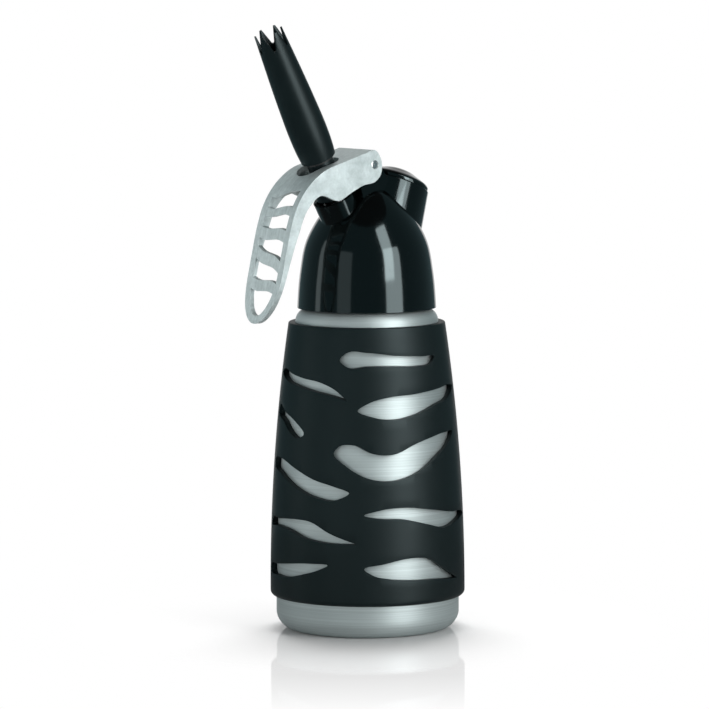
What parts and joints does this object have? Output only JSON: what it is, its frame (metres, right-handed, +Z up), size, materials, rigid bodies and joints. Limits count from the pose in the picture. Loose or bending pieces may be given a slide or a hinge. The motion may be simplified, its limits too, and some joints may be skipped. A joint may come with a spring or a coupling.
{
  "type": "whipped cream dispenser",
  "caption": "Cream whipper: tapered steel bottle in a slotted rubber sleeve, domed screw-on head with a squeeze lever, leaning tulip nozzle and capped charger port.",
  "frame": {"origin": "centre of the flat foot the bottle stands on", "axes": "+Z up along the bottle; the lever handle and nozzle point to -X, the charger port leans to +X; Y is the lever's pivot direction"},
  "size_m": [0.1112, 0.0894, 0.2783],
  "materials": {
    "bottle_steel": "brushed",
    "sleeve_rubber": "matte",
    "head_plastic": "gloss",
    "lever_alloy": "satin",
    "nozzle_plastic": "satin",
    "seal_rubber": "matte",
    "brass": "satin",
    "bright_steel": "polished"
  },
  "bodies": {
    "bottle_body": {"bottle": "bottle_steel", "sleeve": "sleeve_rubber"},
    "gasket_body": {"head_gasket": "seal_rubber"},
    "head_body": {"head_housing": "head_plastic", "valve_guide": "brass", "guide_seal": "seal_rubber", "stem_seals": "seal_rubber", "valve_spring": "bright_steel", "pivot_pin": "bright_steel", "inlet_body": "brass", "inlet_nut": "brass", "piercing_pin": "bright_steel", "charger_seal": "seal_rubber"},
    "lever_body": {"lever": "lever_alloy"},
    "valve_body": {"valve_stem": "bright_steel", "valve_seal": "seal_rubber", "stem_collar": "nozzle_plastic", "nozzle_washer": "seal_rubber"},
    "nozzle_body": {"nozzle": "nozzle_plastic"},
    "cap_body": {"inlet_cap": "head_plastic", "cap_seal": "seal_rubber"}
  },
  "joints": [
    {"name": "head_lift", "type": "slide", "parent": "bottle_body", "child": "gasket_body", "axis": [0, 0, 1], "range_m": [0, 0.07]},
    {"name": "head_unscrew", "type": "hinge", "parent": "gasket_body", "child": "head_body", "pos_m": [0, 0, 0.161], "axis": [0, 0, 1], "range_deg": [0, 720]},
    {"name": "lever_squeeze", "type": "hinge", "parent": "head_body", "child": "lever_body", "pos_m": [-0.005, 0, 0.214], "axis": [0, -1, 0], "range_deg": [0, 12], "stiffness_Nm_per_rad": 1.2, "springref_deg": -8.59},
    {"name": "valve_press", "type": "slide", "parent": "head_body", "child": "valve_body", "axis": [0.4478, 0, -0.8942], "range_m": [0, 0.0041], "deforming": ["valve_spring"]},
    {"name": "nozzle_off", "type": "slide", "parent": "valve_body", "child": "nozzle_body", "axis": [-0.4478, 0, 0.8942], "range_m": [0, 0.02]},
    {"name": "cap_off", "type": "slide", "parent": "head_body", "child": "cap_body", "axis": [0.3746, 0, 0.9272], "range_m": [0, 0.02]}
  ],
  "couplings": [
    {"joint": "valve_press", "follows": "lever_squeeze", "m_per_rad": 0.01926}
  ]
}
